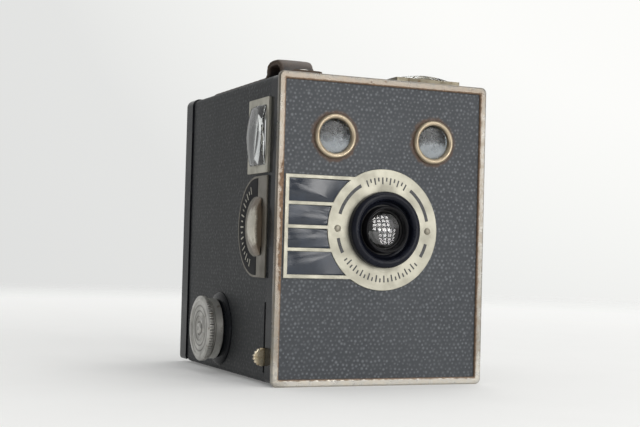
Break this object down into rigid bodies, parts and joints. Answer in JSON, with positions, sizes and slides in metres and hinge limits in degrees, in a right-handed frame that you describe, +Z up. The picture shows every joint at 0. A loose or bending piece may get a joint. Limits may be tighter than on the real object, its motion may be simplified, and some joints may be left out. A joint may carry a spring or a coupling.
{
  "type": "box camera",
  "caption": "Box-shaped roll-film camera with fixed lens, rotary shutter, two reflecting finders, close-up slide, winding knob, hinged back and leather strap.",
  "frame": {"origin": "centre of the underside, in the plane of the surface that the camera stands on", "axes": "-Y out of the lens, +Z up, +X to the right for someone who looks at the front"},
  "size_m": [0.0895, 0.1079, 0.1152],
  "materials": {
    "leatherette": "pebbled",
    "strap_leather": "worn",
    "black_enamel": "gloss",
    "nickel": "worn nickel plate",
    "steel": "satin",
    "brass_worn": "worn",
    "matte_black": "matt",
    "glass": "clear",
    "red_glass": "clear",
    "mirror": "polished"
  },
  "bodies": {
    "camera": {"body_covering": "leatherette", "body_shell": "steel", "catch_spring": "steel", "film_carrier": "matte_black", "film_gate": "matte_black", "finder_eye_lens_side": "glass", "finder_eye_lens_top": "glass", "finder_frame_side": "nickel", "finder_frame_top": "nickel", "finder_front_lenses": "glass", "finder_housing_side": "matte_black", "finder_housing_top": "matte_black", "finder_mirrors": "mirror", "finder_rings": "nickel", "front_covering": "leatherette", "front_panel": "black_enamel", "front_rim": "nickel", "handle_strap": "strap_leather", "handle_studs": "nickel", "hinge_leaf_body": "steel", "hinge_pin": "steel", "lens_plate": "nickel", "lens_plate_enamel": "black_enamel", "lens_plate_rivets": "nickel", "lens_retainer": "nickel", "lens_ring": "black_enamel", "lens_tube": "nickel", "light_cone": "matte_black", "rear_feet": "nickel", "roller_axles": "steel", "shutter_board": "steel", "shutter_pivot_pins": "steel", "shutter_posts": "steel", "shutter_screws": "steel", "shutter_spring": "steel", "slide_guides": "steel", "slide_plate": "nickel", "slide_plate_enamel": "black_enamel", "spool_pivots": "steel", "taking_lens": "glass", "tripod_sockets": "nickel", "winding_seat": "black_enamel"},
    "shutter_lever": {"shutter_lever": "brass_worn"},
    "shutter_disc": {"shutter_disc": "steel"},
    "closeup_slide": {"closeup_slide": "steel", "closeup_lens": "glass"},
    "winding_clip": {"winding_shaft_clip": "steel"},
    "winder": {"winding_knob": "nickel", "winding_shaft": "steel"},
    "take_up_spool": {"take_up_spool": "matte_black"},
    "film_roller_upper": {"film_roller_upper": "steel"},
    "film_roller_lower": {"film_roller_lower": "steel"},
    "back": {"back_door": "black_enamel", "hinge_leaf_door": "steel", "back_door_covering": "leatherette", "back_door_pull": "nickel", "window_bezel": "nickel", "red_window": "red_glass", "pressure_plate": "matte_black", "pressure_springs": "steel"}
  },
  "joints": [
    {"name": "shutter_release", "type": "hinge", "parent": "camera", "child": "shutter_lever", "pos_m": [-0.008, -0.04255, 0.024], "axis": [0, 1, 0], "range_deg": [0, 20], "stiffness_Nm_per_rad": 0.02, "springref_deg": -5.73},
    {"name": "shutter_turn", "type": "hinge", "parent": "camera", "child": "shutter_disc", "pos_m": [0, -0.04445, 0.0417], "axis": [0, 1, 0], "range_deg": [-60, 0]},
    {"name": "closeup_pull", "type": "slide", "parent": "camera", "child": "closeup_slide", "axis": [-1, 0, 0], "range_m": [0, 0.017]},
    {"name": "winder_pull", "type": "slide", "parent": "camera", "child": "winding_clip", "axis": [-1, 0, 0], "range_m": [0, 0.0032]},
    {"name": "winder_turn", "type": "hinge", "parent": "winding_clip", "child": "winder", "pos_m": [-0.045, 0.00485, 0.0165], "axis": [1, 0, 0], "continuous": true},
    {"name": "take_up_turn", "type": "hinge", "parent": "camera", "child": "take_up_spool", "pos_m": [0, 0.00485, 0.0165], "axis": [1, 0, 0], "continuous": true},
    {"name": "roller_upper_turn", "type": "hinge", "parent": "camera", "child": "film_roller_upper", "pos_m": [0, 0.03885, 0.1012], "axis": [1, 0, 0], "continuous": true},
    {"name": "roller_lower_turn", "type": "hinge", "parent": "camera", "child": "film_roller_lower", "pos_m": [0, 0.03885, 0.0082], "axis": [1, 0, 0], "continuous": true},
    {"name": "back_open", "type": "hinge", "parent": "camera", "child": "back", "pos_m": [0, 0.05045, 0.0022], "axis": [-1, 0, 0], "range_deg": [0, 90]}
  ],
  "couplings": [
    {"joint": "shutter_turn", "follows": "shutter_release", "ratio": -3},
    {"joint": "take_up_turn", "follows": "winder_turn", "ratio": 1}
  ]
}
